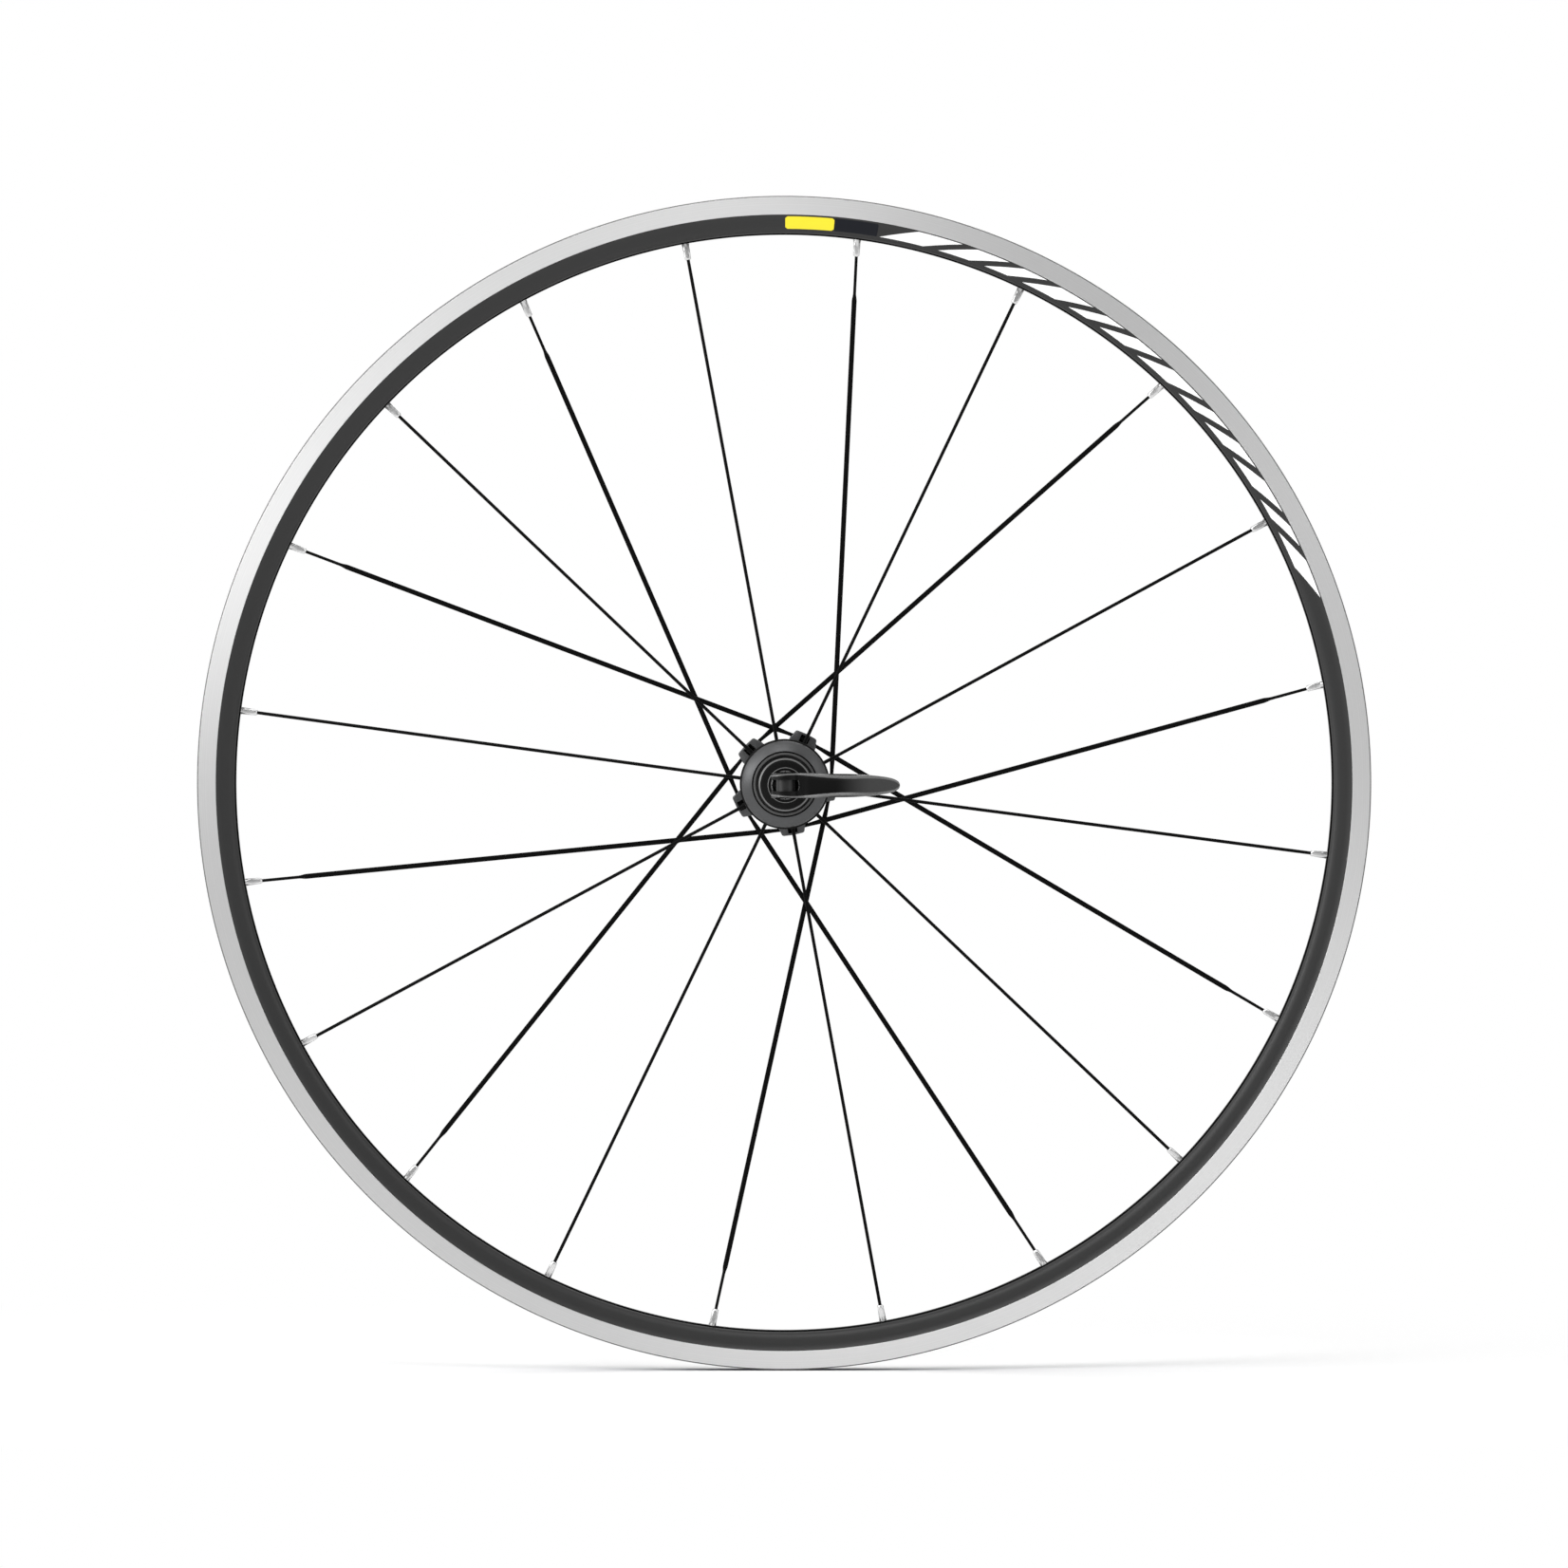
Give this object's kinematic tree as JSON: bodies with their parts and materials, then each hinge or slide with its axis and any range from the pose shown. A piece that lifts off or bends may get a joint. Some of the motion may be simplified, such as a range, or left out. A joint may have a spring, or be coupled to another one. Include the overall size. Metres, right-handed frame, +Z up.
{
  "type": "rear bicycle wheel",
  "caption": "Road bicycle rear wheel for rim brakes: shallow alloy rim, straight-pull spokes, hub with splined freehub, and quick-release skewer with cam lever.",
  "frame": {"origin": "on the axle's centre line, midway between the two faces that meet the frame's dropouts", "axes": "+Y along the axle from the quick-release lever towards the drive side, +Z up, +X along the closed lever, towards the bicycle's rear"},
  "size_m": [0.6336, 0.1746, 0.6336],
  "materials": {
    "rim_alloy": "machined track, black painted band",
    "tape": "woven nylon",
    "spoke_black": "black coated",
    "nipple_silver": "bright",
    "hub_grey": "satin anodised",
    "steel": "ground",
    "freehub_steel": "zinc plated",
    "black_alloy": "black anodised",
    "lever_black": "gloss black"
  },
  "bodies": {
    "axle_set": {"axle": "steel", "end_cap_left": "black_alloy", "end_cap_right": "black_alloy"},
    "wheel": {"rim": "rim_alloy", "rim_tape": "tape", "hub_shell": "hub_grey", "ratchet_ring": "steel", "bearing_left": "steel", "bearing_right": "steel", "spoke_radial_01": "spoke_black", "spoke_radial_02": "spoke_black", "spoke_radial_03": "spoke_black", "spoke_radial_04": "spoke_black", "spoke_radial_05": "spoke_black", "spoke_radial_06": "spoke_black", "spoke_radial_07": "spoke_black", "spoke_radial_08": "spoke_black", "spoke_radial_09": "spoke_black", "spoke_radial_10": "spoke_black", "spoke_crossed_01": "spoke_black", "spoke_crossed_02": "spoke_black", "spoke_crossed_03": "spoke_black", "spoke_crossed_04": "spoke_black", "spoke_crossed_05": "spoke_black", "spoke_crossed_06": "spoke_black", "spoke_crossed_07": "spoke_black", "spoke_crossed_08": "spoke_black", "spoke_crossed_09": "spoke_black", "spoke_crossed_10": "spoke_black", "nipple_01": "nipple_silver", "nipple_02": "nipple_silver", "nipple_03": "nipple_silver", "nipple_04": "nipple_silver", "nipple_05": "nipple_silver", "nipple_06": "nipple_silver", "nipple_07": "nipple_silver", "nipple_08": "nipple_silver", "nipple_09": "nipple_silver", "nipple_10": "nipple_silver", "nipple_11": "nipple_silver", "nipple_12": "nipple_silver", "nipple_13": "nipple_silver", "nipple_14": "nipple_silver", "nipple_15": "nipple_silver", "nipple_16": "nipple_silver", "nipple_17": "nipple_silver", "nipple_18": "nipple_silver", "nipple_19": "nipple_silver", "nipple_20": "nipple_silver"},
    "freehub": {"freehub_body": "freehub_steel", "bearing_freehub": "steel"},
    "pawl_a": {"pawl_1": "steel"},
    "pawl_b": {"pawl_2": "steel"},
    "clamp_base": {"qr_base": "black_alloy", "qr_spring_left": "steel"},
    "skewer": {"qr_rod": "steel", "qr_barrel": "steel", "qr_spring_right": "steel"},
    "lever": {"qr_lever": "lever_black"},
    "nut": {"qr_nut": "black_alloy"}
  },
  "joints": [
    {"name": "wheel_spin", "type": "hinge", "parent": "axle_set", "child": "wheel", "pos_m": [0, 0, 0], "axis": [0, -1, 0], "continuous": true},
    {"name": "freehub_spin", "type": "hinge", "parent": "axle_set", "child": "freehub", "pos_m": [0, 0.04, 0], "axis": [0, -1, 0], "continuous": true},
    {"name": "pawl_1_fold", "type": "hinge", "parent": "freehub", "child": "pawl_a", "pos_m": [0.0098, 0.018, 0.00823], "axis": [0, -1, 0], "range_deg": [0, 12], "stiffness_Nm_per_rad": 0.01, "springref_deg": -11.46},
    {"name": "pawl_2_fold", "type": "hinge", "parent": "freehub", "child": "pawl_b", "pos_m": [-0.0098, 0.018, -0.00823], "axis": [0, -1, 0], "range_deg": [0, 12], "stiffness_Nm_per_rad": 0.01, "springref_deg": -11.46},
    {"name": "skewer_turn", "type": "hinge", "parent": "axle_set", "child": "clamp_base", "pos_m": [0, -0.075, 0], "axis": [0, -1, 0], "continuous": true},
    {"name": "skewer_slide", "type": "slide", "parent": "clamp_base", "child": "skewer", "axis": [0, 1, 0], "range_m": [0, 0.0016]},
    {"name": "lever_throw", "type": "hinge", "parent": "skewer", "child": "lever", "pos_m": [0, -0.08545, 0], "axis": [0, 0, -1], "range_deg": [0, 180]},
    {"name": "nut_turn", "type": "hinge", "parent": "skewer", "child": "nut", "pos_m": [0, 0.0765, 0], "axis": [0, 1, 0], "continuous": true}
  ],
  "couplings": [
    {"joint": "skewer_slide", "follows": "lever_throw", "m_per_rad": 0.000509}
  ]
}
